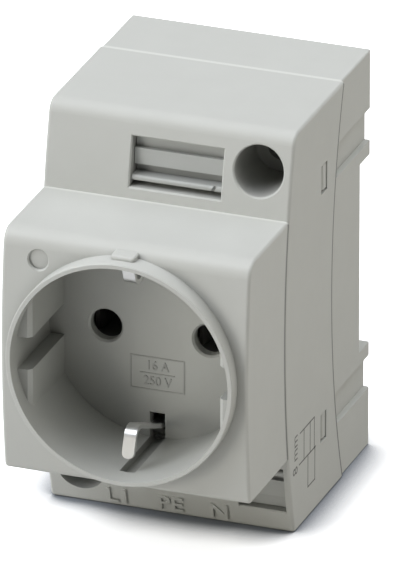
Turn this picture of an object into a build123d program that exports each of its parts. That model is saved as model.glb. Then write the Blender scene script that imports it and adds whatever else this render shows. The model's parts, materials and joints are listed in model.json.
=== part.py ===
from build123d import *
import math
import os

# An earthed wall socket in a modular case: it snaps on a 35 mm rail or is screwed to a wall.
# X runs to the right, Z up and -Y to the front. The origin is under the middle of the case, on the
# plane it stands on. A depth is measured forward from the rear plane of the case.

# Case
width = 45.0
height = 75.0
overall_depth = 65.7
base_inset = 0.45            # the base stands back this much on each side
nose_height = 45.0
bow_axis_depth = -101.5     # the seams and front faces all curve about this line
seam_depth = 20.6           # at half height, as are the next two
front_depth = 44.2
rim_proud = 2.6
base_wall = 2.4
housing_wall = 2.0
nose_wall = 1.8
top_round = 2.8
bottom_round = 1.0
nose_top_round = 3.2
side_round = 0.6
seat_clearance = 0.15
running_clearance = 0.05
slide_clearance = 0.2

# Cup
cup_radius = 19.85
rim_radius = 20.7
cup_depth = 19.1
cup_floor = 2.0
cup_wall = 1.5
guide_chord = 17.1          # half the width between the two flats
guide_setback = 3.2
guide_groove = 6.0
tab_width = 4.4
tab_setback = 1.9
tab_drop = 1.0
tab_round = 0.8
dimple_radius = 1.75
dimple_depth = 0.5
dimple_x = -15.9
dimple_rise = 17.7          # above the middle of the case

# Pins and earth springs
pin_spacing = 19.0
pin_hole_radius = 2.9
socket_gap = 4.6
socket_height = 6.0
socket_mouth_gap = 2.4       # behind the floor of the cup, as is the back of the earth bracket
leaf = 0.8
spring_leaf = 0.6
earth_width = 2.2
earth_leaf = 0.8
earth_slot = 2.8
earth_slot_setback = 4.2
earth_slot_height = 4.8
earth_slot_recess = 1.45
hump_radius = 12.7
hump_setback = 6.6
hump_bend = 2.0
tip_radius = 18.1
tip_setback = 4.6
root_radius = 18.0
earth_shift = 1.0            # the bracket sits this much above the middle
earth_back_gap = 4.1
rivet_spacing = 6.0

# Rail seat and latch
rail_slot_height = 35.8
rail_slot_depth = 5.3
rail_lip = 1.0
hook_reach = 1.8
hook_width = 7.0
hook_offset = 11.0
hook_rear_depth = 0.7
latch_width = 12.0
latch_neck = 9.0
latch_flange_depth = 1.2
latch_thickness = 3.2
latch_travel = 3.0
latch_lift = 0.3
latch_window_width = 4.4
latch_window_low = 3.0
latch_window_high = 12.5
latch_pad = 1.8
spring_folds = 8
spring_swing = 2.0
spring_width = 2.6
peg_height = 1.4

# Side grooves and snap hooks
groove_depth = 1.05
groove_height = 6.2
groove_ramp = 1.4
lower_groove_z = 10.95
groove_pitch = 47.0
lip_reach = 2.0
lip_wall = 1.4
snap_width = 4.7
snap_window_depth = 23.3
snap_window_length = 3.0
snap_window_height = 5.3
snap_proud = 1.9

# Fixing screws
fixing_x = 16.4
fixing_edge = 7.1            # from the nearer end of the case
fixing_hole_radius = 2.3
fixing_head_radius = 4.5
fixing_head_depth = 11.0
fixing_tube_wall = 1.0
fixing_post_wall = 1.3
post_joint_depth = 22.0
edge_break = 0.35
mouth_break = 0.25

# Terminals
terminal_spacing = 8.9
terminal_z = 9.5
busbar = 1.0
busbar_width = 4.2
busbar_depth = 22.0
cage_inner_width = 4.8
cage_wall = 0.8
cage_front_wall = 1.8
cage_rear_wall = 1.2
cage_height = 6.4
wire_gap = 3.4
cage_play = 0.4
screw_radius = 1.75
screw_head_radius = 2.4
screw_head_length = 2.5
screw_slot = 0.8
screw_free_length = 7.7
access_radius = 2.1
access_wall = 1.0
wire_entry_width = 4.6
wire_entry_length = 4.6
wire_funnel = 0.8

# Marker holders
marker_left = -6.85
marker_width = 16.7
marker_height = 8.8
marker_edge = 4.2             # from the nearer end of the case
marker_floor_setback = 6.6    # behind the front face at half height, as are the next two
marker_wall = 1.2
small_marker_left = 12.6
small_marker_width = 8.8
marker_gap = 0.12
marker_back = 0.9
marker_panel_rise = 3.4       # above the lower edge of the window
marker_panel_height = 3.0
marker_panel_setback = 4.7
marker_rib_rise = 0.9
marker_rib_height = 1.0
marker_rib_setback = 3.0

# Carrier
carrier_plate = 1.6
carrier_depth = 24.2
carrier_drop = 17.5         # below the middle of the case
carrier_rise = 18.5         # above it
pocket_wall = 1.2
pocket_margin = 0.4

middle_z = height / 2
dimple_z = middle_z + dimple_rise
fixing_z = height - fixing_edge
marker_high = height - marker_edge
marker_low = marker_high - marker_height
marker_panel_low = marker_low + marker_panel_rise
marker_rib_low = marker_low + marker_rib_rise
half_width = width / 2
base_width = width - 2 * base_inset
floor_depth = overall_depth - cup_depth
cup_back_depth = floor_depth - cup_floor
earth_back_depth = cup_back_depth - earth_back_gap
marker_floor_depth = front_depth - marker_floor_setback
marker_panel_depth = front_depth - marker_panel_setback
marker_rib_depth = front_depth - marker_rib_setback
small_marker_turned = -small_marker_left - small_marker_width
nose_depth = overall_depth - rim_proud
seam_radius = seam_depth - bow_axis_depth
front_radius = front_depth - bow_axis_depth
nose_radius = nose_depth - bow_axis_depth
nose_low = middle_z - nose_height / 2
nose_high = middle_z + nose_height / 2
carrier_low = middle_z - carrier_drop
carrier_high = middle_z + carrier_rise
rail_low = middle_z - rail_slot_height / 2
rail_high = middle_z + rail_slot_height / 2
inner_half = half_width - housing_wall


def y_at(depth):
    """The Y of a plane that lies this far in front of the rear plane."""
    return overall_depth / 2 - depth


def upright(depth):
    """The upright plane at one depth, looking to the front."""
    return Plane.XZ.offset(-y_at(depth))


def face_depth(radius, z):
    """The depth of a bowed face at one height."""
    return bow_axis_depth + math.sqrt(radius**2 - (z - middle_z) ** 2)


def block(low_x, high_x, rear, front, low_z, high_z):
    """A box between two depths."""
    size = Box(high_x - low_x, front - rear, high_z - low_z)
    return Pos((low_x + high_x) / 2, y_at((rear + front) / 2), (low_z + high_z) / 2) * size


def rod(x, z, rear, front, radius):
    """A round bar along Y between two depths."""
    return Pos(x, y_at((rear + front) / 2), z) * Rot(90, 0, 0) * Cylinder(radius, front - rear)


def cone(x, z, rear, front, rear_end, front_end):
    """A taper along Y between two depths."""
    size = Cone(rear_end, front_end, front - rear)
    return Pos(x, y_at((rear + front) / 2), z) * Rot(90, 0, 0) * size


def bow(radius):
    """The solid behind a bowed face."""
    return Pos(0, y_at(bow_axis_depth), middle_z) * Rot(0, 90, 0) * Cylinder(radius, 2 * width)


def side_profile(low_z, high_z, front, rear=None):
    """The side view of a shell: flat at top and bottom, bowed in front, and behind if rear is given."""
    axis = Pos(y_at(bow_axis_depth), middle_z)
    sheet = Pos(0, (low_z + high_z) / 2) * Rectangle(overall_depth, high_z - low_z)
    sheet &= axis * Circle(front)
    if rear is not None:
        sheet -= axis * Circle(rear)
    return sheet


def bowed_body(body_width, sheet, top, bottom, side, sharp_radius):
    """A side view made solid, with its front corners and side edges rounded and one seam left sharp."""
    if bottom is not None:
        sheet = fillet(sheet.vertices().group_by(Axis.Y)[0].sort_by(Axis.X)[0], bottom)
    if top is not None:
        sheet = fillet(sheet.vertices().group_by(Axis.Y)[-1].sort_by(Axis.X)[0], top)
    body = extrude(Plane.YZ * sheet, body_width / 2, both=True)
    outline = body.faces().filter_by(Axis.X).edges()
    arcs = outline.filter_by(GeomType.CIRCLE)
    seam = [edge for edge in arcs if abs(edge.radius - sharp_radius) < 0.01]
    return fillet([edge for edge in outline if edge not in seam], side)


def turned(solid):
    """A copy turned half a turn about the middle of the case, seen from the front."""
    return Pos(0, 0, middle_z) * Rot(0, 180, 0) * Pos(0, 0, -middle_z) * solid


def mirrored(solid):
    """A copy on the other side of the case."""
    return mirror(solid, Plane.YZ)


def strip(points, thickness, strip_width, x=0.0, bend=1.0):
    """Sheet metal bent along points of (depth, height), with its edges square."""
    path = FilletPolyline(*[(y_at(depth), z) for depth, z in points], radius=bend)
    band = trace(path, thickness)
    return extrude(Plane.YZ.offset(x) * band, strip_width / 2, both=True)


def fixing_column(rear, front, radius):
    """The same round form at both fixing screws."""
    column = rod(fixing_x, fixing_z, rear, front, radius)
    return [column, turned(column)]


seat_ledge = nose_wall / 2
rivet_radius = earth_leaf
rivet_heights = (middle_z - rivet_spacing / 2, middle_z + rivet_spacing / 2)
fixing_floor = face_depth(front_radius, fixing_z) - fixing_head_depth
fixing_post_radius = fixing_hole_radius + fixing_post_wall
terminal_places = (-terminal_spacing, 0, terminal_spacing)
head_rear = busbar_depth + busbar + screw_free_length
head_front = head_rear + screw_head_length
well_rear = head_rear - slide_clearance
partition_rear = busbar_depth - wire_gap
leg_end = terminal_z - cage_height / 2 - 1


def rear_base():
    """The shell behind the seam, with the rail seat, the latch guide and the snap hooks."""
    half = base_width / 2
    shell = bowed_body(base_width, side_profile(0, height, seam_radius), None, None, edge_break, seam_radius)
    cavity = block(base_wall - half, half - base_wall, base_wall, front_depth, base_wall, height - base_wall)
    rail_wall = block(-half, half, 0, rail_slot_depth + base_wall, rail_low - base_wall,
                      rail_high + base_wall)
    latch_floor = latch_thickness + slide_clearance
    pad_half = latch_width / 2 + base_wall
    pad = block(-pad_half, pad_half, 0, latch_floor + latch_pad, 0, rail_low)
    shell -= cavity - rail_wall - pad
    shell += base_lip() + snap_arms()
    shell += [boss - bow(0.1) for boss in fixing_column(base_wall / 2, post_joint_depth, fixing_post_radius)]
    shell -= block(-width, width, -1, rail_slot_depth, rail_low, rail_high)
    for side in (-1, 1):
        x = side * hook_offset
        hook_front = rail_slot_depth - rail_lip - slide_clearance
        hook = block(x - hook_width / 2, x + hook_width / 2, hook_rear_depth, hook_front,
                     rail_high - hook_reach, rail_high + base_wall / 2)
        shell += hook
    shell -= latch_guide()
    shell += latch_peg()
    shell -= side_grooves()
    shell -= fixing_column(-1, post_joint_depth + 1, fixing_hole_radius)
    return shell


def base_lip():
    """The tongue that centres the base in the middle housing."""
    outer_half = inner_half - seat_clearance
    outer_low = housing_wall + seat_clearance
    rear = seam_depth / 2
    outer = block(-outer_half, outer_half, rear, front_depth, outer_low, height - outer_low)
    inner_low = outer_low + lip_wall
    inner = block(lip_wall - outer_half, outer_half - lip_wall, 0, overall_depth, inner_low,
                  height - inner_low)
    return (outer & bow(seam_radius + lip_reach)) - inner


def snap_heights():
    """The heights of the snap hooks, each in line with a side groove."""
    low = lower_groove_z + groove_height / 2
    return [low, low + groove_pitch]


def snap_arms():
    """Four springy arms whose barbs show in the windows of the middle housing."""
    face = inner_half - seat_clearance
    rear = snap_window_depth + slide_clearance
    front = snap_window_depth + snap_window_length - slide_clearance
    arms = []
    for z in snap_heights():
        arm = block(face - lip_wall, face, seam_depth / 2, front, z - snap_width / 2, z + snap_width / 2)
        outline = Polyline((face - lip_wall, y_at(rear)), (face + snap_proud, y_at(rear)),
                           (face + snap_proud, y_at(rear + snap_window_length / 2)), (face, y_at(front)),
                           (face - lip_wall, y_at(front)), close=True)
        barb = extrude(Plane.XY.offset(z) * make_face(outline), snap_width / 2, both=True)
        arms += [arm + barb, mirrored(arm + barb)]
    return arms


def latch_guide():
    """The T-shaped channel, open at the rear, in which the rail latch slides."""
    wide = latch_width / 2 + slide_clearance
    narrow = latch_neck / 2 + slide_clearance
    channel = block(-wide, wide, latch_flange_depth, latch_thickness + slide_clearance, -1, rail_low + 1)
    mouth = block(-narrow, narrow, -1, latch_flange_depth + 0.01, -1, rail_low + 1)
    hook_front = rail_slot_depth - rail_lip
    hook_low = rail_low - latch_travel - slide_clearance
    hook_room = block(-narrow, narrow, -1, hook_front, hook_low, rail_low + 1)
    return channel + mouth + hook_room


def latch_peg():
    """The stop in the latch's window, on which the latch spring stands."""
    half = latch_window_width / 2 - slide_clearance
    low = latch_window_low + slide_clearance
    floor = latch_thickness + slide_clearance
    return block(-half, half, latch_flange_depth, floor + latch_pad / 2, low, low + peg_height)


def side_grooves():
    """The shallow grooves along both sides, each with a ramp above and a ledge below."""
    grooves = []
    outer = base_width / 2
    floor = outer - groove_depth
    for ledge in (lower_groove_z, lower_groove_z + groove_pitch):
        outline = Polyline((outer + 1, ledge), (floor, ledge), (floor, ledge + groove_height - groove_ramp),
                           (outer, ledge + groove_height), (outer + 1, ledge + groove_height), close=True)
        cutter = extrude(upright(-1) * make_face(outline), front_depth)
        grooves += [cutter, mirrored(cutter)]
    return grooves


def middle_housing():
    """The shell between the two seams, with both flanges, the terminal wells and the marker pockets."""
    sheet = side_profile(0, height, front_radius, seam_radius)
    outer = bowed_body(width, sheet, top_round, bottom_round, side_round, seam_radius)
    room = block(-inner_half, inner_half, 0, overall_depth, housing_wall, height - housing_wall)
    shell = outer - (room & bow(front_radius - housing_wall))
    opening_half = half_width - nose_wall - seat_ledge
    opening_low = nose_low + nose_wall + seat_ledge
    shell -= block(-opening_half, opening_half, front_depth / 2, overall_depth, opening_low,
                   height - opening_low)
    inside = []
    tube_radius = fixing_head_radius + fixing_tube_wall
    inside += fixing_column(fixing_floor - fixing_tube_wall, front_depth, tube_radius)
    inside += fixing_column(post_joint_depth, fixing_floor, fixing_post_radius)
    inside += terminal_wells() + marker_pads()
    shell += [piece & bow(front_radius - edge_break) for piece in inside]
    shell += carrier_rests()
    shell -= fixing_column(fixing_floor, overall_depth, fixing_head_radius)
    shell -= fixing_column(0, overall_depth, fixing_hole_radius)
    for x in terminal_places:
        shell -= rod(x, terminal_z, 0, head_front + slide_clearance, screw_head_radius + slide_clearance) \
            & block(-width, width, well_rear, overall_depth, 0, height)
        shell -= rod(x, terminal_z, head_rear, overall_depth, access_radius)
        shell -= wire_entry(x)
    shell -= marker_pocket(marker_left, marker_width)
    shell -= turned(marker_pocket(small_marker_turned, small_marker_width))
    flats = shell.faces().filter_by(GeomType.PLANE).group_by(Axis.Y)[-1].edges()
    shell = chamfer([edge for edge in shell.edges() if is_mouth(edge) and edge not in flats], mouth_break)
    for z in snap_heights():
        window_front = snap_window_depth + snap_window_length
        window = block(inner_half - 1, half_width + 1, snap_window_depth, window_front,
                       z - snap_window_height / 2, z + snap_window_height / 2)
        shell -= [window, mirrored(window)]
    return shell


def on_bow(edge, radius):
    """Whether an edge lies in a bowed face."""
    points = [edge @ share for share in (0.2, 0.7)]
    reaches = [math.hypot(point.Y - y_at(bow_axis_depth), point.Z - middle_z) for point in points]
    return all(abs(reach - radius) < 0.01 for reach in reaches)


def is_mouth(edge):
    """Whether an edge bounds a window or a fixing hole in the front face of the housing."""
    place = edge.center()
    in_flange = place.Z > nose_high or place.Z < nose_low
    for x in terminal_places:
        if math.hypot(place.X - x, place.Z - terminal_z) < 2 * access_radius:
            return False
    return on_bow(edge, front_radius) and in_flange and abs(place.X) < inner_half


def is_dimple_mouth(edge):
    """Whether an edge bounds the dimple in the front of the nose."""
    place = edge.center()
    near = math.hypot(place.X - dimple_x, place.Z - dimple_z) < 2 * dimple_radius
    return on_bow(edge, nose_radius) and near


def terminal_wells():
    """The sleeves that hold the screw heads, and the walls that part the three terminals."""
    wells = [rod(x, terminal_z, well_rear, front_depth, screw_head_radius + slide_clearance + access_wall)
             for x in terminal_places]
    for side in (-1, 1):
        x = side * terminal_spacing / 2
        wells.append(block(x - access_wall / 2, x + access_wall / 2, partition_rear, front_depth,
                           housing_wall / 2, terminal_z + cage_height))
    return wells


def marker_pads():
    """The thick places of the flanges into which the marker pockets are sunk."""
    pads = []
    for left, pad_width, flip in ((marker_left, marker_width, False),
                                  (small_marker_turned, small_marker_width, True)):
        low_x = max(left - marker_wall, -half_width + housing_wall / 2)
        high_x = min(left + pad_width + marker_wall, half_width - housing_wall / 2)
        pad = block(low_x, high_x, marker_floor_depth - marker_wall, front_depth, marker_low - marker_wall,
                    marker_high + marker_wall)
        pads.append(turned(pad) if flip else pad)
    return pads


def marker_pocket(left, pocket_width):
    """A window in the upper flange, flat at the back."""
    return block(left, left + pocket_width, marker_floor_depth, overall_depth, marker_low, marker_high)


def wire_entry(x):
    """A square hole in the underside with a funnel."""
    entry_depth = busbar_depth - wire_gap / 2
    hole = block(x - wire_entry_width / 2, x + wire_entry_width / 2, entry_depth - wire_entry_length / 2,
                 entry_depth + wire_entry_length / 2, -1, terminal_z)
    mouth = Pos(x, y_at(entry_depth), -0.01) * Rectangle(wire_entry_width + 2 * wire_funnel,
                                                         wire_entry_length + 2 * wire_funnel)
    return hole + extrude(mouth, wire_funnel, taper=45)


def carrier_rests():
    """Four ribs on the side walls that the contact carrier sits against."""
    rests = []
    for z in (middle_z - nose_height / 4, middle_z + nose_height / 4):
        rest = block(inner_half - carrier_plate, inner_half + housing_wall / 2,
                     carrier_depth - carrier_plate, carrier_depth, z - carrier_plate, z + carrier_plate)
        rests += [rest, mirrored(rest)]
    return rests


def socket_front():
    """The front part: the nose, the collar and the cup, moulded in one."""
    sheet = side_profile(nose_low, nose_high, nose_radius, front_radius)
    outer = bowed_body(width, sheet, nose_top_round, bottom_round, side_round, front_radius)
    nose_half = half_width - nose_wall
    room = block(-nose_half, nose_half, 0, overall_depth, nose_low + nose_wall, nose_high - nose_wall)
    front = outer - (room & bow(nose_radius - nose_wall))
    tube = rod(0, middle_z, cup_back_depth, nose_depth, cup_radius + cup_wall)
    front += tube & bow(nose_radius - nose_wall / 2)
    collar = rod(0, middle_z, nose_depth - nose_wall - top_round, overall_depth, rim_radius)
    collar = chamfer(collar.edges().group_by(Axis.Y)[0], edge_break / 2)
    front += collar
    tab = block(-tab_width / 2, tab_width / 2, nose_depth - 2 * nose_top_round, overall_depth - tab_setback,
                middle_z + cup_radius, nose_high - tab_drop)
    tab = fillet(tab.edges().filter_by(Axis.Y), tab_round / 2)
    tab = fillet(tab.edges().group_by(Axis.Y)[0].filter_by(Axis.X).sort_by(Axis.Z)[-1], tab_round)
    front += tab
    front -= rod(0, middle_z, floor_depth, overall_depth + 1, cup_radius)
    front += plug_guides()
    front -= earth_slots()
    for side in (-1, 1):
        x = side * pin_spacing / 2
        front -= rod(x, middle_z, 0, overall_depth, pin_hole_radius)
        front -= cone(x, middle_z, floor_depth - edge_break, floor_depth + edge_break, pin_hole_radius,
                      pin_hole_radius + 2 * edge_break)
    face = face_depth(nose_radius, dimple_z)
    front -= rod(dimple_x, dimple_z, face - dimple_depth, overall_depth, dimple_radius)
    front = chamfer([edge for edge in front.edges() if is_dimple_mouth(edge)], mouth_break)
    front += nose_hooks()
    return front


def plug_guides():
    """The flats at both sides of the cup, each parted by a groove for the rib of a plug."""
    front = overall_depth - guide_setback
    disc = rod(0, middle_z, floor_depth - cup_floor / 2, front, cup_radius + cup_wall / 2)
    far = 2 * width
    lead = 2 * edge_break
    between = block(-guide_chord, guide_chord, 0, overall_depth, 0, height)
    groove = block(-far, far, 0, overall_depth, middle_z - guide_groove / 2, middle_z + guide_groove / 2)
    outline = Polyline((guide_chord - lead, y_at(front + lead)), (guide_chord + lead, y_at(front)),
                       (guide_chord, y_at(front - lead)), (0, y_at(front - lead)), close=True)
    bevel = extrude(make_face(outline), height)
    groove &= rod(0, middle_z, 0, overall_depth, cup_radius)
    return disc - between - groove - bevel - mirrored(bevel)


def earth_slots():
    """The slots above and below through which the earth springs reach into the cup."""
    half = earth_slot / 2
    top = middle_z + cup_radius
    wall_slot = block(-half, half, cup_back_depth - 1, overall_depth - earth_slot_setback,
                      top - earth_slot_height, top + earth_slot_recess)
    cut = wall_slot - rod(0, middle_z, floor_depth, overall_depth, cup_radius)
    return [cut, turned(cut)]


def nose_hooks():
    """Four hooks that hold the front part behind the rim of the middle housing."""
    low = nose_low + nose_wall + seat_ledge + slide_clearance
    rim_rear = face_depth(front_radius, low) - housing_wall - slide_clearance
    hooks = []
    for side in (-1, 1):
        x = side * hook_offset
        low_x = x - hook_width / 2
        high_x = x + hook_width / 2
        arm = block(low_x, high_x, rim_rear - lip_wall, front_depth + cup_floor, low, low + lip_wall)
        root = block(low_x, high_x, front_depth, front_depth + cup_floor, nose_low + nose_wall / 2,
                     low + lip_wall)
        barb = block(low_x, high_x, rim_rear - lip_wall, rim_rear, low - seat_ledge, low + lip_wall)
        hook = arm + root + barb
        hooks += [hook, turned(hook)]
    return hooks


def contact_carrier():
    """The insulating plate inside, with a pocket round each pin socket."""
    plate_half = inner_half - slide_clearance
    plate_front = carrier_depth + carrier_plate
    carrier = block(-plate_half, plate_half, carrier_depth, plate_front, carrier_low, carrier_high)
    front = cup_back_depth - slide_clearance
    half_x = socket_gap / 2 + leaf + spring_leaf + 2 * pocket_margin
    low_z = middle_z - socket_height / 2 - pocket_margin
    high_z = middle_z + socket_height / 2 + 2 * spring_leaf + pocket_margin
    for side in (-1, 1):
        x = side * pin_spacing / 2
        carrier += block(x - half_x - pocket_wall, x + half_x + pocket_wall, plate_front, front,
                         low_z - pocket_wall, high_z + pocket_wall)
    for side in (-1, 1):
        x = side * pin_spacing / 2
        leg_x = side * terminal_spacing
        leg_half = busbar_width / 2 + slide_clearance
        carrier -= block(x - half_x, x + half_x, plate_front, overall_depth, low_z, high_z)
        carrier -= block(leg_x - leg_half, leg_x + leg_half, plate_front,
                         plate_front + busbar + pocket_margin, 0, middle_z)
    rib_half = busbar_width / 2
    carrier += block(-rib_half, rib_half, carrier_depth, earth_back_depth - 1.5 * earth_leaf, low_z, high_z)
    return carrier


def pin_contact(side):
    """One stamped strip: a sprung socket for the pin and a leg down to its terminal."""
    x = side * pin_spacing / 2
    root = carrier_depth + carrier_plate + leaf / 2
    mouth = cup_back_depth - socket_mouth_gap
    half = socket_gap / 2 + leaf / 2
    flare = leaf
    corners = [(-half - flare / 2, mouth), (-half, mouth - 2 * flare), (-half, root), (half, root),
               (half, mouth - 2 * flare), (half + flare / 2, mouth)]
    path = FilletPolyline(*[(x + across, y_at(depth)) for across, depth in corners], radius=leaf)
    socket = extrude(Plane.XY.offset(middle_z) * trace(path, leaf), socket_height / 2, both=True)
    leg_depth = carrier_depth + carrier_plate + busbar / 2
    end_depth = busbar_depth + busbar / 2
    leg = strip([(leg_depth, middle_z + socket_height / 2), (leg_depth, carrier_low - busbar),
                 (end_depth, terminal_z + cage_height / 2 + 2 * busbar), (end_depth, leg_end)],
                busbar, busbar_width, side * terminal_spacing)
    return socket + leg


def socket_spring(side):
    """The steel saddle that presses the two leaves of a pin socket together."""
    x = side * pin_spacing / 2
    half = socket_gap / 2 + leaf + spring_leaf / 2
    top = middle_z + socket_height / 2 + spring_leaf
    low = middle_z - socket_height / 3
    path = FilletPolyline((x - half, low), (x - half, top), (x + half, top), (x + half, low),
                          radius=spring_leaf)
    reach = cup_back_depth - socket_mouth_gap - carrier_depth - carrier_plate
    saddle = upright(carrier_depth + carrier_plate + reach / 3) * trace(path, spring_leaf)
    return extrude(saddle, reach / 2)


def earth_bracket():
    """The bent strip with an earth spring at each end, one above the cup and one below."""
    points = [(overall_depth - tip_setback, tip_radius + earth_leaf / 2),
              (overall_depth - hump_setback, hump_radius + earth_leaf / 2),
              (floor_depth, root_radius + earth_leaf / 2),
              (earth_back_depth, root_radius + earth_leaf / 2)]
    below = [(depth, middle_z + earth_shift - radius) for depth, radius in points]
    above = [(depth, middle_z + earth_shift + radius) for depth, radius in reversed(points)]
    corner = 1.5 * earth_leaf
    bends = [hump_bend, corner, corner, corner, corner, hump_bend]
    bracket = strip(below + above, earth_leaf, earth_width, 0, bends)
    ends = bracket.faces().filter_by(lambda face: abs(face.area - earth_leaf * earth_width) < 0.01)
    short = [edge for edge in ends.edges() if abs(edge.length - earth_leaf) < 0.01]
    bracket = fillet(short, 0.45 * earth_width)
    return bracket - rivet_holes()


def earth_strap():
    """The strap from the earth bracket to the middle terminal."""
    depth = earth_back_depth - earth_leaf
    end_depth = busbar_depth + busbar / 2
    strap = strip([(depth, rivet_heights[1] + 2 * earth_leaf), (depth, carrier_low),
                   (end_depth, terminal_z + cage_height / 2 + 2 * busbar), (end_depth, leg_end)],
                  earth_leaf, busbar_width, 0)
    tail = block(-busbar_width / 2, busbar_width / 2, busbar_depth, busbar_depth + busbar, leg_end,
                 terminal_z + cage_height / 2)
    return strap + tail - rivet_holes()


def rivet_holes():
    """The holes for the two rivets, in the bracket and in the strap."""
    return [rod(0, z, 0, overall_depth, rivet_radius + running_clearance) for z in rivet_heights]


def earth_rivets():
    """The two rivets that join the strap to the bracket."""
    rear = earth_back_depth - 1.5 * earth_leaf
    front = earth_back_depth + earth_leaf / 2
    rivets = []
    for z in rivet_heights:
        head = cone(0, z, front, front + earth_leaf / 2, 1.5 * rivet_radius, rivet_radius)
        rivets.append(rod(0, z, rear, front, rivet_radius) + head)
    return rivets


def clamp_cage(x):
    """The steel cage that the screw pulls up, so that it grips the wire against the strip."""
    half = cage_inner_width / 2
    low_z = terminal_z - cage_height / 2
    high_z = terminal_z + cage_height / 2
    rear = busbar_depth - wire_gap
    front = busbar_depth + busbar + cage_play
    cage = block(x - half - cage_wall, x + half + cage_wall, rear - cage_rear_wall,
                 front + cage_front_wall, low_z, high_z)
    cage = fillet(cage.edges().filter_by(Axis.Z), cage_wall)
    cage -= block(x - half, x + half, rear, front, 0, height)
    return cage - rod(x, terminal_z, front - 1, overall_depth, screw_radius + running_clearance)


def terminal_screw(x):
    """A slotted screw that bears on the strip and is kept in its sleeve by its head."""
    screw = rod(x, terminal_z, busbar_depth + busbar, head_rear + edge_break, screw_radius)
    screw = chamfer(screw.edges().group_by(Axis.Y)[-1], edge_break)
    head = rod(x, terminal_z, head_rear, head_front, screw_head_radius)
    head = chamfer(head.edges().group_by(Axis.Y)[0], edge_break)
    slot = block(x - 2 * screw_head_radius, x + 2 * screw_head_radius, head_rear + screw_head_length / 2,
                 overall_depth, terminal_z - screw_slot / 2, terminal_z + screw_slot / 2)
    return screw + head - slot


def rail_latch():
    """The slide that hooks behind the lower edge of the rail and is pulled down to free it."""
    half = latch_width / 2
    neck = latch_neck / 2
    hook_front = rail_slot_depth - rail_lip - slide_clearance
    latch = block(-half, half, latch_flange_depth + slide_clearance, latch_thickness, latch_lift, rail_low)
    latch += block(-neck, neck, latch_lift, latch_thickness, latch_lift, rail_low)
    hook = block(-neck, neck, hook_rear_depth, hook_front, rail_low, rail_low + hook_reach)
    hook = chamfer(hook.edges().filter_by(Axis.X).group_by(Axis.Y)[-1].sort_by(Axis.Z)[-1], 0.8 * hook_reach)
    latch += hook
    half_window = latch_window_width / 2
    latch -= block(-half_window, half_window, -1, overall_depth, latch_window_low, latch_window_high)
    return latch


def latch_spring():
    """The folded strip spring between the peg and the top of the latch's window."""
    low = latch_window_low + slide_clearance + peg_height + spring_leaf / 4
    rise = (latch_window_high - spring_leaf / 4 - low) / spring_folds
    rear = latch_flange_depth - spring_swing / 4
    folds = [(rear + (fold % 2) * spring_swing, low + fold * rise) for fold in range(spring_folds + 1)]
    return strip(folds, spring_leaf / 2, spring_width, 0, spring_leaf / 2)


def marker_holder(left, holder_width):
    """A label holder in section: a back plate, a raised panel and a round rib."""
    back_front = marker_floor_depth + marker_back
    low_x = left + marker_gap
    high_x = left + holder_width - marker_gap
    holder = block(low_x, high_x, marker_floor_depth, back_front, marker_low + marker_gap,
                   marker_high - marker_gap)
    holder += block(low_x, high_x, back_front, marker_panel_depth, marker_panel_low,
                    marker_panel_low + marker_panel_height)
    rib = block(low_x, high_x, back_front, marker_rib_depth, marker_rib_low,
                marker_rib_low + marker_rib_height)
    rib = fillet(rib.edges().filter_by(Axis.X).group_by(Axis.Y)[0], 0.45 * marker_rib_height)
    notch = high_x - marker_rib_height * 1.5
    rib -= Pos(notch, y_at(marker_rib_depth), marker_rib_low + marker_rib_height / 2) * Rot(0, 30, 0) * Box(
        marker_rib_height / 2, marker_rib_height, 2 * marker_rib_height)
    return holder + rib


nodes = {
    "rear_base": rear_base(),
    "middle_housing": middle_housing(),
    "socket_front": socket_front(),
    "contact_carrier": contact_carrier(),
    "line_contact": pin_contact(-1),
    "neutral_contact": pin_contact(1),
    "line_socket_spring": socket_spring(-1),
    "neutral_socket_spring": socket_spring(1),
    "earth_bracket": earth_bracket(),
    "earth_strap": earth_strap(),
    "earth_rivets": Compound(children=earth_rivets()),
    "rail_latch": rail_latch(),
    "latch_spring": latch_spring(),
    "marker_holder": marker_holder(marker_left, marker_width),
    "small_marker_holder": turned(marker_holder(small_marker_turned, small_marker_width)),
}
for name, place in zip(("line", "earth", "neutral"), terminal_places):
    nodes[name + "_clamp"] = clamp_cage(place)
    nodes[name + "_screw"] = terminal_screw(place)

os.makedirs("parts", exist_ok=True)
for name, solid in nodes.items():
    export_step(solid, "parts/" + name + ".step")
    print(name, round(solid.volume, 1))
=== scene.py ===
# %% [markdown]
# # An earthed wall socket in a modular rail case
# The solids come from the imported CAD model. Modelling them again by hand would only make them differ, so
# they stay as they are and only get new materials.

import json
import math

import bpy
from mathutils import Matrix, Vector


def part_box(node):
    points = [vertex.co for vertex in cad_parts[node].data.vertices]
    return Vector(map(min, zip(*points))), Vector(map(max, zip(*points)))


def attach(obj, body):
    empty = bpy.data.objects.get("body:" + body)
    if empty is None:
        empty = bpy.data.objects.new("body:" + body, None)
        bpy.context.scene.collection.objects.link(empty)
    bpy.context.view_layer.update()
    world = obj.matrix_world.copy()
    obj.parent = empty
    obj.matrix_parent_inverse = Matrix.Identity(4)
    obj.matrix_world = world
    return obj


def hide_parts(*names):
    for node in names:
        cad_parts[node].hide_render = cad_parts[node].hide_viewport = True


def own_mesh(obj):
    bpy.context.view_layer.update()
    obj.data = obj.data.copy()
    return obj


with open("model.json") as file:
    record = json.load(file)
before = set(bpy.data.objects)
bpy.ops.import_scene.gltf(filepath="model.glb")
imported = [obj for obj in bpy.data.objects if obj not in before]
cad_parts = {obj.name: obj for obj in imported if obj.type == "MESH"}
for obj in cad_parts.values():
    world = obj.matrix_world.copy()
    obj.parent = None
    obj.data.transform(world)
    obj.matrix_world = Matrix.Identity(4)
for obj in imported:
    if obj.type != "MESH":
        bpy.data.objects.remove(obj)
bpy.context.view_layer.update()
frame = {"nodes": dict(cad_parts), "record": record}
nodes = frame["nodes"]
print("CAD nodes:", sorted(nodes))

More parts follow.
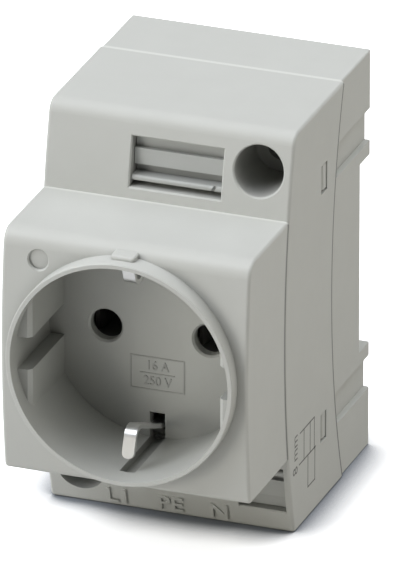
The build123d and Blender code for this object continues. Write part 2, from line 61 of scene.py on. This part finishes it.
# %% [markdown]
# ## Measures
# The photograph shows a few features that the added pieces have to meet: the seams, which all curve
# about one line behind the case, the floor of the cup and the lower flange. They are named once here,
# in metres, so that each piece below can be placed from them instead of by eye.

# %% Name the places that the pieces meet
MM = 0.001
half_depth = 32.85 * MM
bow_y = half_depth + 101.5 * MM
middle_z = 37.5 * MM
front_radius = 145.7 * MM
seam_radius = 122.1 * MM
cup_floor_y = half_depth - 46.6 * MM
side_x = 22.5 * MM


def bowed_y(radius, z):
    """Y of a face that curves about the line behind the case."""
    return bow_y - math.sqrt(radius**2 - (z - middle_z) ** 2)


print("Lower flange at 2 mm:", round(bowed_y(front_radius, 2 * MM) / MM, 2), "mm")

# %% [markdown]
# ## Small tools for the edits
# Each new piece is made by the steps that a modeller would use by hand, and these helpers keep those steps
# short. An operator acts on all that is selected, so the first one leaves nothing selected. The next one
# puts an object's place into its mesh, as in the CAD nodes. The third merges doubled points and turns all
# faces outwards, and the last one prints the size of what was made.

# %% Define the editing helpers
weld_distance = 0.001 * MM


def deselect():
    """Nothing is selected, so that the next operator acts on its own object alone."""
    if bpy.context.object and bpy.context.object.mode != "OBJECT":
        bpy.ops.object.mode_set(mode="OBJECT")
    bpy.ops.object.select_all(action="DESELECT")


def settle(obj, name):
    """The object's place, turn and scale go into its mesh."""
    deselect()
    obj.select_set(True)
    bpy.context.view_layer.objects.active = obj
    bpy.ops.object.transform_apply(location=True, rotation=True, scale=True)
    obj.name = name
    obj.data.name = name


def turn_outwards():
    """The doubles of the active mesh are merged and its faces turned outwards."""
    bpy.ops.object.mode_set(mode="EDIT")
    bpy.ops.mesh.select_all(action="SELECT")
    bpy.ops.mesh.remove_doubles(threshold=weld_distance)
    bpy.ops.mesh.normals_make_consistent(inside=False)
    bpy.ops.object.mode_set(mode="OBJECT")


def report(obj):
    """Prints the size of a new piece, as a check on its scale."""
    low, high = Vector(obj.bound_box[0]), Vector(obj.bound_box[6])
    size = [round(v / MM, 2) for v in high - low]
    print(obj.name, size, "mm,", len(obj.data.polygons), "faces")


print("Doubles are merged within", round(weld_distance / MM, 4), "mm")

# %% [markdown]
# ## Small tools for the node materials
# Every finish here is a tree of shader nodes, and the same few nodes come back in each tree: coordinates,
# a noise, a change of range and a ramp between two colours. Each helper adds one of them, links its inputs
# and hands back its output, so that a material below reads like a recipe. The patterns start from Object
# coordinates, which stay on a piece when the piece moves.


# %% Define the node helpers
def new_material(name):
    """A node material, its tree and its shader."""
    material = bpy.data.materials.new(name)
    material.use_nodes = True
    tree = material.node_tree
    return material, tree, tree.nodes["Principled BSDF"]


def object_coords(tree):
    """Where a point lies on its own object, in metres."""
    return tree.nodes.new("ShaderNodeTexCoord").outputs["Object"]


def connect(tree, value, socket):
    """An output is linked to an input, and a plain number is set on it."""
    if isinstance(value, bpy.types.NodeSocket):
        tree.links.new(value, socket)
    else:
        socket.default_value = value


def noise(tree, coords, scale, detail=3.0):
    """A noise texture in object space."""
    node = tree.nodes.new("ShaderNodeTexNoise")
    node.inputs["Scale"].default_value = scale
    node.inputs["Detail"].default_value = detail
    tree.links.new(coords, node.inputs["Vector"])
    return node.outputs["Fac"]


def spread(tree, value, low, high, start=0.0, end=1.0):
    """Maps the span from start to end onto the span from low to high, and holds it there."""
    node = tree.nodes.new("ShaderNodeMapRange")
    node.inputs["From Min"].default_value = start
    node.inputs["From Max"].default_value = end
    node.inputs["To Min"].default_value = low
    node.inputs["To Max"].default_value = high
    tree.links.new(value, node.inputs["Value"])
    return node.outputs["Result"]


def ramp(tree, factor, low, high):
    """A value from 0 to 1 becomes a colour between two."""
    node = tree.nodes.new("ShaderNodeValToRGB")
    node.color_ramp.elements[0].color = (*low, 1)
    node.color_ramp.elements[1].color = (*high, 1)
    tree.links.new(factor, node.inputs["Fac"])
    return node.outputs["Color"]


print("Node helpers:", [helper.__name__ for helper in (object_coords, noise, spread, ramp)])

# %% [markdown]
# ## Seams between the mouldings: painted shadow and highlight
# Where two mouldings of the case meet, the joint is drawn as a thin line of painted shadow, with a
# painted highlight on its rim where the edge faces up. A groove cut all round could make the shadow, but
# the mouldings meet face to face there, and a line so thin would break up. Each seam lies on a known
# cylinder about the line behind the case, so the distance to that cylinder draws it in the material,
# which needs no extra mesh and keeps the line even.

# %% Define the seam's painted shadow and highlight
seam_core = 0.4
# Painted shadow in the joint and a painted highlight on a rim that faces up, as shares of the colour
seam_painted_shadow = 0.3
rim_painted_highlight = 1.18
painted_highlight_start = 0.3
painted_highlight_end = 0.8


def calculate(tree, operation, first, second=0.0):
    """One step of maths on values."""
    node = tree.nodes.new("ShaderNodeMath")
    node.operation = operation
    connect(tree, first, node.inputs[0])
    connect(tree, second, node.inputs[1])
    return node.outputs["Value"]


def vector_step(tree, operation, vector, by=(0, 0, 0), result="Vector"):
    """One step of maths on vectors."""
    node = tree.nodes.new("ShaderNodeVectorMath")
    node.operation = operation
    node.inputs[1].default_value = by
    tree.links.new(vector, node.inputs[0])
    return node.outputs[result]


def component(tree, vector, axis):
    """One of the three numbers of a vector."""
    node = tree.nodes.new("ShaderNodeSeparateXYZ")
    tree.links.new(vector, node.inputs["Vector"])
    return node.outputs[axis]


def seam_clear(tree, coords, radius, half_width):
    """1 away from the seam and 0 on it."""
    from_line = vector_step(tree, "SUBTRACT", coords, (0, bow_y, middle_z))
    square_to_line = vector_step(tree, "MULTIPLY", from_line, (0, 1, 1))
    reach = vector_step(tree, "LENGTH", square_to_line, result="Value")
    gap = calculate(tree, "ABSOLUTE", calculate(tree, "SUBTRACT", reach, radius))
    return spread(tree, gap, 0, 1, seam_core * half_width, half_width)


def seam_painted_shadow_and_highlight(tree, low, high):
    """Painted shadow in the joint, and a painted highlight on a rim that faces up."""
    normal = tree.nodes.new("ShaderNodeNewGeometry").outputs["Normal"]
    facing = spread(tree, component(tree, normal, "Z"), 0, 1, painted_highlight_start, painted_highlight_end)
    return ramp(tree, facing, [seam_painted_shadow * v for v in low], [rim_painted_highlight * v for v in high])


print("Seams at", round(seam_radius / MM, 1), "and", round(front_radius / MM, 1), "mm from the line")

# %% [markdown]
# ## Painted shade in the hollows
# The cup, the grooves and the windows look deeper in the picture than the lamps alone make them. Weaker
# lamps would darken the open faces too. So an ambient occlusion node, which sees how much of the moulding
# stands about a point, darkens the colour of the plastic there and leaves the open faces alone.

# %% Define the painted shade of the hollows
hollow_reach = 15 * MM
hollow_samples = 12
hollow_start = 0.3
hollow_end = 0.85


def openness(tree, reach, samples, only_local=False):
    """1 in the open, and less in a corner or a hollow, measured out to a reach."""
    node = tree.nodes.new("ShaderNodeAmbientOcclusion")
    node.inputs["Distance"].default_value = reach
    node.only_local = only_local
    node.samples = samples
    return node.outputs["AO"]


def mix_colours(tree, factor, first, second, blend="MIX"):
    """Two colours of the tree are mixed."""
    node = tree.nodes.new("ShaderNodeMix")
    node.data_type = "RGBA"
    node.blend_type = blend
    connect(tree, factor, node.inputs["Factor"])
    tree.links.new(first, node.inputs["A"])
    tree.links.new(second, node.inputs["B"])
    return node.outputs["Result"]


def hollow_shade(tree, colour, tone):
    """The colour with painted shade in the hollows of the moulding itself, where little light gets in."""
    light = openness(tree, hollow_reach, hollow_samples, only_local=True)
    shade = spread(tree, light, tone, 1, hollow_start, hollow_end)
    tint = ramp(tree, shade, (0, 0, 0), (1, 1, 1))
    return mix_colours(tree, 1, colour, tint, "MULTIPLY")


print("Hollows are felt over", round(hollow_reach / MM, 1), "mm")

# %% [markdown]
# ## Moulded plastic
# The case is moulded in a light warm grey polyamide. Its tool is lightly spark eroded, so the skin has a
# fine grain that softens every highlight. One even grey would look like a computer drawing and a picture
# of a skin would stretch on the sides, so three noises make it: a wide one for the faint clouding of the
# colour, a finer one for the gloss and a very fine one for the bump. The front part is a little glossier
# than the case, the label holders are smooth and the contact carrier is dark.

# %% Mix the plastics
cloud_scale = 160
gloss_scale = 700
grain_scale = 3500
grain_detail = 2
grain_height = 0.02 * MM
gloss_swing = 0.06
plastic_gleam = 0.4
# Widths of the painted seam shadow on the case and on the front part.
seam_width = 0.55 * MM
front_seam_width = 0.9 * MM
# How dark the painted shade in the hollows gets: for most plastics, and for the open base.
deep_painted_shade = 0.62
faint_painted_shade = 0.9


def add_bump(tree, shader, height, strength, distance):
    """A height drives the shader's normal."""
    node = tree.nodes.new("ShaderNodeBump")
    node.inputs["Strength"].default_value = strength
    node.inputs["Distance"].default_value = distance
    tree.links.new(height, node.inputs["Height"])
    tree.links.new(node.outputs["Normal"], shader.inputs["Normal"])


def plastic(name, low, high, rough, grain=0.25, seam=None, half_width=seam_width, tone=deep_painted_shade):
    """A moulded plastic with clouded colour, uneven gloss and a fine spark-eroded grain."""
    material, tree, shader = new_material(name)
    coords = object_coords(tree)
    colour = ramp(tree, noise(tree, coords, cloud_scale), low, high)
    # At a seam the colour gets painted shadow in the joint and a painted highlight where the rim faces up.
    if seam:
        clear = seam_clear(tree, coords, seam, half_width)
        colour = mix_colours(tree, clear, seam_painted_shadow_and_highlight(tree, low, high), colour)
    # Painted shade darkens the colour in the hollows, where little light gets in.
    tree.links.new(hollow_shade(tree, colour, tone), shader.inputs["Base Color"])
    gloss = spread(tree, noise(tree, coords, gloss_scale), rough - gloss_swing, rough + gloss_swing)
    tree.links.new(gloss, shader.inputs["Roughness"])
    shader.inputs["Specular IOR Level"].default_value = plastic_gleam
    add_bump(tree, shader, noise(tree, coords, grain_scale, grain_detail), grain, grain_height)
    return material


case_light = (0.628, 0.634, 0.602)
case_dark = (0.598, 0.603, 0.572)
case_plastic = plastic("case_grey", case_dark, case_light, 0.5, seam=seam_radius)
base_plastic = plastic("base_grey", case_dark, case_light, 0.5, seam=seam_radius, tone=faint_painted_shade)
front_plastic = plastic("front_grey", case_dark, case_light, 0.38, 0.2, front_radius, front_seam_width)
marker_plastic = plastic("marker_grey", (0.52, 0.53, 0.51), (0.56, 0.57, 0.55), 0.2, grain=0.05)
dark_plastic = plastic("carrier_grey", (0.22, 0.22, 0.21), (0.25, 0.25, 0.24), 0.55)
plastics = (case_plastic, base_plastic, front_plastic, marker_plastic, dark_plastic)
print("Plastics:", [m.name for m in plastics])

# %% [markdown]
# ## Sheet metal
# The earth springs are strip with bright nickel plating, bent over a tool. The two pin contacts behind
# the floor are tinned, so their holes look dark grey, and the clamps are plain brass. Rolled strip shows
# fine scratches along its length. The shader's own anisotropy gives a long highlight but no scratches, so
# a noise is stretched instead: it varies slowly along Z and quickly across. It drives both roughness and
# bump, because a scratch changes both.

# %% Define the metals
along_z = (1, 1, 0.08)
tarnish_scale = 300
streak_scale = 2600
streak_detail = 2
streak_height = 0.01 * MM
streak_gloss = 0.07
streak_matt = 0.1


def metal(name, low, high, rough, scratch=0.12):
    """A rolled or turned metal with fine streaks along its height."""
    material, tree, shader = new_material(name)
    coords = object_coords(tree)
    stretch = tree.nodes.new("ShaderNodeMapping")
    stretch.inputs["Scale"].default_value = along_z
    tree.links.new(coords, stretch.inputs["Vector"])
    streaks = noise(tree, stretch.outputs["Vector"], streak_scale, streak_detail)
    tarnish = ramp(tree, noise(tree, coords, tarnish_scale), low, high)
    tree.links.new(tarnish, shader.inputs["Base Color"])
    gloss = spread(tree, streaks, rough - streak_gloss, rough + streak_matt)
    tree.links.new(gloss, shader.inputs["Roughness"])
    shader.inputs["Metallic"].default_value = 1.0
    add_bump(tree, shader, streaks, scratch, streak_height)
    return material


nickel = metal("bright_nickel", (0.90, 0.90, 0.89), (0.96, 0.96, 0.95), 0.32, scratch=0.03)
zinc = metal("zinc_plated_steel", (0.60, 0.61, 0.62), (0.70, 0.71, 0.72), 0.34)
brass = metal("rolled_brass", (0.62, 0.43, 0.17), (0.72, 0.52, 0.22), 0.3)
tinned = metal("tinned_brass", (0.50, 0.50, 0.47), (0.60, 0.60, 0.57), 0.45)
print("Metals:", [m.name for m in (nickel, zinc, brass, tinned)])

# %% [markdown]
# ## Finish for each node
# The record names a material slot for every node, so most nodes are dressed by their slot. Five nodes get
# a variant: the base has open sides with hardly a hollow and so gets fainter painted shade, the front part
# is glossier, the earth strip is brighter and the two pin contacts are greyer than the rest of their slots.


# %% Dress the CAD nodes
def dress(obj, material):
    """The object gets one material."""
    obj.data.materials.clear()
    obj.data.materials.append(material)


by_slot = {
    "case_plastic": case_plastic,
    "carrier_plastic": dark_plastic,
    "brass": brass,
    "plated_steel": zinc,
    "marker_plastic": marker_plastic,
}
own = {
    "rear_base": base_plastic,
    "socket_front": front_plastic,
    "earth_bracket": nickel,
    "line_contact": tinned,
    "neutral_contact": tinned,
}
slots = {part["node"]: part["material_slot"] for part in frame["record"]["subparts"]}
for name, node in nodes.items():
    dress(node, own.get(name, by_slot[slots[name]]))
print("Dressed", len(nodes), "nodes in", len(set(slots.values())), "slots")

# %% [markdown]
# ## Terminal letters
# The letters below the cup tell the fitter which terminal is which. On the real case they are cut into the
# tool, so they stand proud of the lower flange. A drawn pattern would stay flat, while raised letters catch
# the light on their edges, so each one is a text made a mesh. The flange curves back towards the bottom,
# so the letters are tilted by the slope of the face at their own height.

# %% Raise the terminal letters
capital_share = 0.7
curve_steps = 4


def lettering(name, words, centre, height, relief, turn, widen=1.0):
    """Raised letters: a text made a mesh, centred on one point and turned to face out of a surface."""
    deselect()
    bpy.ops.object.text_add(location=(0, 0, 0))
    text = bpy.context.object
    text.data.body = words
    text.data.align_x = "CENTER"
    text.data.align_y = "CENTER"
    text.data.size = height / capital_share
    text.data.extrude = relief / 2
    text.data.bevel_depth = relief / 6
    text.data.resolution_u = curve_steps
    bpy.ops.object.convert(target="MESH")
    obj = bpy.context.object
    stretch = Matrix.Diagonal((widen, 1, 1, 1))
    obj.matrix_world = Matrix.Translation(centre) @ turn.to_4x4() @ stretch
    settle(obj, name)
    turn_outwards()
    return obj


letter_z = 2.25 * MM
letter_height = 2.85 * MM
letter_relief = 0.45 * MM
letter_sink = 0.05 * MM
letter_widen = 1.18
letter_slope = math.asin((middle_z - letter_z) / front_radius)
letter_tilt = Matrix.Rotation(math.radians(90) + letter_slope, 3, "X")
terminals = (
    ("letters_line", "L1", -9.7 * MM),
    ("letters_earth", "PE", -0.1 * MM),
    ("letters_neutral", "N", 8.9 * MM),
)
for name, words, x in terminals:
    place = Vector((x, bowed_y(front_radius, letter_z) - letter_sink, letter_z))
    piece = lettering(name, words, place, letter_height, letter_relief, letter_tilt, letter_widen)
    dress(piece, case_plastic)
    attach(piece, "case")
    report(piece)

# %% [markdown]
# ## Small tools for blocks
# The barbs and the drawn lines that follow start as blocks. A block is shaped by picking some of its edges
# by their place, as a click would, and bevelling those. What repeats is modelled once and copied with its
# own mesh, and the copies are joined into one piece.

# %% Define the block helpers
smooth_angle = math.radians(40)


def slab(name, centre, size):
    """A block of one size at one place."""
    deselect()
    bpy.ops.mesh.primitive_cube_add(size=1, location=centre)
    obj = bpy.context.object
    obj.scale = size
    settle(obj, name)
    bpy.ops.object.shade_smooth_by_angle(angle=smooth_angle)
    return obj


def pick_edges(obj, wanted):
    """Only the edges whose two ends pass the test stay selected."""
    ends = obj.data.vertices
    for part in list(ends) + list(obj.data.polygons):
        part.select = False
    for edge in obj.data.edges:
        edge.select = all(wanted(ends[i].co) for i in edge.vertices)


def bevel_picked(offset, segments):
    """The picked edges are bevelled in edit mode."""
    bpy.context.tool_settings.mesh_select_mode = (False, True, False)
    bpy.ops.object.mode_set(mode="EDIT")
    bpy.ops.mesh.bevel(offset=offset, segments=segments, affect="EDGES")
    bpy.ops.object.mode_set(mode="OBJECT")


def copy_moved(obj, name, matrix):
    """A copy with its own mesh, moved by a matrix and with its faces outwards."""
    deselect()
    obj.select_set(True)
    bpy.context.view_layer.objects.active = obj
    bpy.ops.object.duplicate(linked=False)
    twin = bpy.context.object
    twin.name = name
    twin.data.transform(matrix)
    turn_outwards()
    return twin


def join(name, pieces):
    """Several meshes become one piece."""
    deselect()
    for piece in pieces:
        piece.select_set(True)
    bpy.context.view_layer.objects.active = pieces[0]
    bpy.ops.object.join()
    pieces[0].name = name
    pieces[0].data.name = name
    return pieces[0]


print("Edges under", round(math.degrees(smooth_angle)), "degrees are shaded smooth")

# %% [markdown]
# ## Snap barbs
# Each side of the middle housing has two small windows. A springy arm of the base ends in each, and its
# barb nearly fills it, so the window reads as a thin dark outline about a grey block. The solid arm stops
# short of the face, so the tip of the barb is added on it: a block whose front outer edge is cut to a
# ramp, which lets the housing slide over it when the case is snapped together. One tip is modelled and
# copied up and across, and each copy has its faces turned right side out.

# %% Set the snap barbs in their windows
barb_foot = 20.95 * MM
barb_face = 22.35 * MM
barb_rear = half_depth - 23.5 * MM
barb_front = half_depth - 25.2 * MM
barb_low = 14.05 * MM
barb_pitch = 47 * MM
barb_height = 4.7 * MM
barb_ramp = 0.35 * MM
barb_round = 0.1 * MM
near = 0.01 * MM
barb = slab(
    "snap_barb",
    ((barb_foot + barb_face) / 2, (barb_rear + barb_front) / 2, barb_low),
    (barb_face - barb_foot, barb_rear - barb_front, barb_height),
)
pick_edges(barb, lambda place: place.x > barb_face - near and place.y < barb_front + near)
bevel_picked(barb_ramp, 1)
pick_edges(barb, lambda place: place.x > barb_foot + near)
bevel_picked(barb_round, 2)
above = Matrix.Translation((0, 0, barb_pitch))
across = Matrix.Scale(-1, 4, (1, 0, 0))
upper_barb = copy_moved(barb, "snap_barb_upper", above)
left_barbs = [copy_moved(piece, "snap_barb_left", across) for piece in (barb, upper_barb)]
barbs = join("snap_barbs", [barb, upper_barb] + left_barbs)
dress(barbs, case_plastic)
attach(barbs, "case")
report(barbs)

# %% [markdown]
# ## Latch spring
# A folded strip spring stands in the window of the rail latch. When the latch is pulled down, the top of
# its window presses the strip together. The solid strip can't do that, so a strip of the same size takes
# its place. Eight separate leaves would have to be joined at every fold, so it starts as one upright grid
# that is one cell wide and has a row for every fold. Every second row is pushed back, and the sheet gets
# its thickness and rounded edges.

# %% Fold the latch spring
fold_count = 8
leaf = 0.3 * MM
spring_low, spring_high = (Vector(corner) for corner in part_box("latch_spring"))
spring_size = spring_high - spring_low
strip_height = spring_size.z - leaf
fold_swing = spring_size.y - leaf
strip_foot = Vector((0, spring_low.y + leaf / 2, spring_low.z + leaf / 2))
deselect()
bpy.ops.mesh.primitive_grid_add(
    x_subdivisions=1,
    y_subdivisions=fold_count,
    size=1,
    location=strip_foot + Vector((0, 0, strip_height / 2)),
    rotation=(math.radians(90), 0, 0),
)
strip = bpy.context.object
strip.scale = (spring_size.x, strip_height, 1)
settle(strip, "latch_spring_strip")
pick_edges(strip, lambda place: round((place.z - strip_foot.z) / strip_height * fold_count) % 2)
bpy.context.tool_settings.mesh_select_mode = (False, True, False)
bpy.ops.object.mode_set(mode="EDIT")
bpy.ops.transform.translate(value=(0, fold_swing, 0))
bpy.ops.object.mode_set(mode="OBJECT")
thicken = strip.modifiers.new("thickness", "SOLIDIFY")
thicken.thickness = leaf
thicken.offset = 0
round_folds = strip.modifiers.new("round folds", "BEVEL")
round_folds.width = leaf / 3
round_folds.segments = 2
for modifier in list(strip.modifiers):
    bpy.ops.object.modifier_apply(modifier=modifier.name)
bpy.ops.object.shade_smooth_by_angle(angle=smooth_angle)
dress(strip, zinc)
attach(strip, "case")
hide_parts("latch_spring")
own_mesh(strip)
report(strip)

# %% [markdown]
# ## Rating frame on the cup floor
# A small framed box with the current and the voltage stands on the floor of the cup. It is a thin raised
# line. Four bars would cross at the corners, so a plane is inset, its middle deleted and the rest
# extruded: that gives a frame of even width with mitred corners.

# %% Raise the rating frame
frame_centre = Vector((0, cup_floor_y, 29.7 * MM))
frame_width = 10.0 * MM
frame_height = 6.3 * MM
line_width = 0.22 * MM
bar_width = 6.4 * MM
relief = 0.12 * MM
figure_height = 1.7 * MM
figure_rise = 1.45 * MM
figure_widen = 0.9
figures = (("rating_upper", "16 A", figure_rise), ("rating_lower", "250 V", -figure_rise))
deselect()
bpy.ops.mesh.primitive_plane_add(size=1, location=frame_centre, rotation=(math.radians(90), 0, 0))
rating = bpy.context.object
rating.scale = (frame_width, frame_height, 1)
settle(rating, "rating_frame")
bpy.ops.object.mode_set(mode="EDIT")
bpy.ops.mesh.select_all(action="SELECT")
bpy.ops.mesh.inset(thickness=line_width)
bpy.ops.mesh.delete(type="ONLY_FACE")
bpy.ops.mesh.select_all(action="SELECT")
bpy.ops.mesh.extrude_region_move(TRANSFORM_OT_translate={"value": (0, -relief, 0)})
bpy.ops.object.mode_set(mode="OBJECT")
turn_outwards()
half_relief = Vector((0, relief / 2, 0))
bar = slab("rating_bar", frame_centre - half_relief, (bar_width, relief, line_width))
upright = Matrix.Rotation(math.radians(90), 3, "X")
lines = []
for name, words, rise in figures:
    place = frame_centre - half_relief + Vector((0, 0, rise))
    lines.append(lettering(name, words, place, figure_height, relief, upright, figure_widen))
rating = join("rating_frame", [rating, bar] + lines)
dress(rating, plastic("rating_line_grey", (0.49, 0.49, 0.47), (0.53, 0.53, 0.51), 0.45))
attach(rating, "case")
report(rating)

# %% [markdown]
# ## Wire stripping gauge
# A small line drawing on the right side shows how far a wire is stripped: slim bars for the outlines of
# the wire and its sleeve, and the length written beside them. Drawn in the material, each line would take
# a handful of nodes. Instead each one is the same thin slab at another place, which stands only about a
# hundredth of a millimetre proud, so it reads as a drawn line and all are equally wide.

# %% Draw the stripping gauge
line = 0.28 * MM
skin = 0.02 * MM
mark_height = 2.3 * MM
along_side = Matrix(((0, 0, 1), (0, -1, 0), (1, 0, 0)))
mark_place = Vector((side_x, half_depth - 38.9 * MM, 14.6 * MM))
# The two ends of each line, given by the distance from the rear plane and the height, in millimetres.
gauge_lines = (
    ((29.4, 12.0), (29.4, 17.8)),
    ((31.5, 12.0), (31.5, 17.8)),
    ((34.6, 12.0), (34.6, 17.8)),
    ((29.4, 17.8), (36.6, 17.8)),
    ((28.8, 12.0), (37.0, 12.0)),
    ((29.1, 5.9), (29.1, 12.0)),
    ((32.6, 5.9), (32.6, 12.0)),
    ((29.1, 5.9), (32.6, 5.9)),
)


def on_side(depth, z):
    """A point on the right side face."""
    return Vector((side_x, half_depth - depth * MM, z * MM))


def stroke(start, end):
    """A straight line on the side face between two points."""
    run = end - start
    bar = slab("stroke", (0, 0, 0), (skin, run.length + line, line))
    turn = Matrix.Rotation(math.atan2(run.z, run.y), 4, "X")
    bar.data.transform(Matrix.Translation((start + end) / 2) @ turn)
    return bar


drawn = [stroke(on_side(*start), on_side(*end)) for start, end in gauge_lines]
length_mark = lettering("gauge_length", "8 mm", mark_place, mark_height, skin, along_side)
gauge = join("stripping_gauge", drawn + [length_mark])
dress(gauge, plastic("gauge_line_grey", (0.17, 0.17, 0.16), (0.20, 0.20, 0.19), 0.5))
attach(gauge, "case")
report(gauge)
print("Strokes drawn:", len(drawn))

# %% [markdown]
# ## Floor
# The case stands on white paper. A plain white floor would also throw much light back up under the nose,
# more than the picture shows, so the floor is bright for the camera alone and a light grey, a little
# darker and warmer on the right, for the light that it returns. The lamps cast a wide pale shadow. An
# ambient occlusion node keeps the added brightness away from the foot of the case, so that the dark
# contact shadow stays there. The same node turns the floor's colour near the foot a bluish grey, so the
# contact shadow there is partly cast by the lamps and partly painted shadow.

# %% Lay the floor
floor_size = 8
contact_reach = 11 * MM
contact_samples = 16
contact_dark = 0.5
paper_white = 0.93
paper_scale = 6
paper_low = 0.93
paper_high = 0.95
paper_glow = 0.7
painted_contact_shadow = (0.27, 0.29, 0.33)
returned_left = (0.66, 0.66, 0.66)
returned_right = (0.56, 0.54, 0.50)
left_end = -30 * MM
right_end = 50 * MM
deselect()
bpy.ops.mesh.primitive_plane_add(size=floor_size, location=(0, 0, 0))
floor = bpy.context.object
floor.name = "floor"
floor_material, tree, shader = new_material("white_floor")
coords = object_coords(tree)
seen = tree.nodes.new("ShaderNodeLightPath").outputs["Is Camera Ray"]
# Near the foot the floor's colour turns bluish grey: painted contact shadow on top of the lamps' own.
clear = spread(tree, openness(tree, contact_reach, contact_samples), 0, 1, contact_dark, paper_white)
cloud = spread(tree, noise(tree, coords, paper_scale), paper_low, paper_high)
painted_shadow_and_cloud = calculate(tree, "MULTIPLY", clear, cloud)
sideways = spread(tree, component(tree, coords, "X"), 0, 1, left_end, right_end)
returned = ramp(tree, sideways, returned_left, returned_right)
paper = mix_colours(tree, seen, returned, ramp(tree, painted_shadow_and_cloud, painted_contact_shadow, (1, 1, 1)))
tree.links.new(paper, shader.inputs["Base Color"])
glow = calculate(tree, "MULTIPLY", spread(tree, clear, 0, paper_glow), seen)
tree.links.new(glow, shader.inputs["Emission Strength"])
shader.inputs["Emission Color"].default_value = (1, 1, 1, 1)
shader.inputs["Roughness"].default_value = 0.9
shader.inputs["Specular IOR Level"].default_value = 0.1
dress(floor, floor_material)
print("Floor", floor_size, "m wide, contact shadow felt over", round(contact_reach / MM, 1), "mm")

# %% [markdown]
# ## Backdrop
# The white that the picture shows behind the case is the floor. The world beyond it is only a large dim
# grey screen, which lights the shaded faces a little. A world of one strength would lift the front as
# much as the back, so it is nearly dark on the camera's side and grows brighter towards the rear.

# %% Hang the backdrop
world = bpy.data.worlds.new("studio")
bpy.context.scene.world = world
world.use_nodes = True
world_tree = world.node_tree
backdrop = world_tree.nodes["Background"]
front_strength = 0.03
rear_strength = 0.35
aim = world_tree.nodes.new("ShaderNodeTexCoord").outputs["Generated"]
rearward = spread(world_tree, component(world_tree, aim, "Y"), front_strength, rear_strength)
world_tree.links.new(rearward, backdrop.inputs["Strength"])
backdrop.inputs["Color"].default_value = (1.0, 0.985, 0.935, 1)
print("Backdrop strength from", front_strength, "to", rear_strength)

# %% [markdown]
# ## Soft boxes
# The top of the case is the brightest face, the front a little darker and the right side darker still,
# while the left half of the cup lies in shade. That tells where the boxes stand: three high ones, a low
# one at the left front that reaches the right half of the cup floor, and two weak ones that lift the
# right side. An area lamp near the case would light one end more than the other. A sun lamp with a wide
# angle acts as a box so large and far that it lights the whole object evenly. The boxes at the left and
# above are slightly cool, and the others, which stand for light that has met the room, slightly warm.

# %% Set up the soft boxes
lamp_reach = 0.6
cool_light = (0.965, 0.995, 1.045)
warm_light = (1.03, 1.0, 0.92)


def soft_box(name, direction, softness, strength, colour):
    """A far and wide lamp that lights from one direction, with soft shadows."""
    deselect()
    bpy.ops.object.light_add(type="SUN", location=[lamp_reach * v for v in direction])
    lamp = bpy.context.object
    lamp.name = name
    lamp.data.energy = strength
    lamp.data.color = colour
    lamp.data.angle = math.radians(softness)
    lamp.rotation_euler = Vector(direction).to_track_quat("Z", "Y").to_euler()
    print(name, "strength", strength)


soft_box("high_left_box", (-0.62, -0.31, 0.76), 45, 1.85, cool_light)
soft_box("overhead_box", (0.25, -0.15, 1.0), 50, 0.45, cool_light)
soft_box("high_rear_box", (0.2, 0.30, 0.95), 40, 0.98, cool_light)
soft_box("high_right_box", (0.70, -0.05, 0.65), 30, 0.34, warm_light)
soft_box("low_left_box", (-0.65, -0.75, 0.15), 25, 0.80, warm_light)
soft_box("low_right_box", (0.97, 0.05, 0.12), 30, 0.22, warm_light)

# %% [markdown]
# ## Camera
# The camera looks from the front right and from above through a long lens, so the edges of the case stay
# nearly parallel. A short lens near the case would spread them. Its angles were found by matching the
# corners of the case with the picture.

# %% Set up the camera
camera_azimuth = math.radians(20.3)
camera_elevation = math.radians(24.1)
camera_distance = 2.55
camera_target = Vector((1.9 * MM, 2.2 * MM, 40.3 * MM))
long_lens = 937
farthest_seen = 20
back = Vector((
    math.sin(camera_azimuth) * math.cos(camera_elevation),
    -math.cos(camera_azimuth) * math.cos(camera_elevation),
    math.sin(camera_elevation),
))
deselect()
bpy.ops.object.camera_add(location=camera_target + back * camera_distance)
camera = bpy.context.object
camera.rotation_euler = (-back).to_track_quat("-Z", "Y").to_euler()
camera.data.lens = long_lens
camera.data.clip_end = farthest_seen
bpy.context.scene.camera = camera
bpy.context.scene.view_settings.view_transform = "Standard"
print("Camera", [round(v, 3) for v in camera.location])
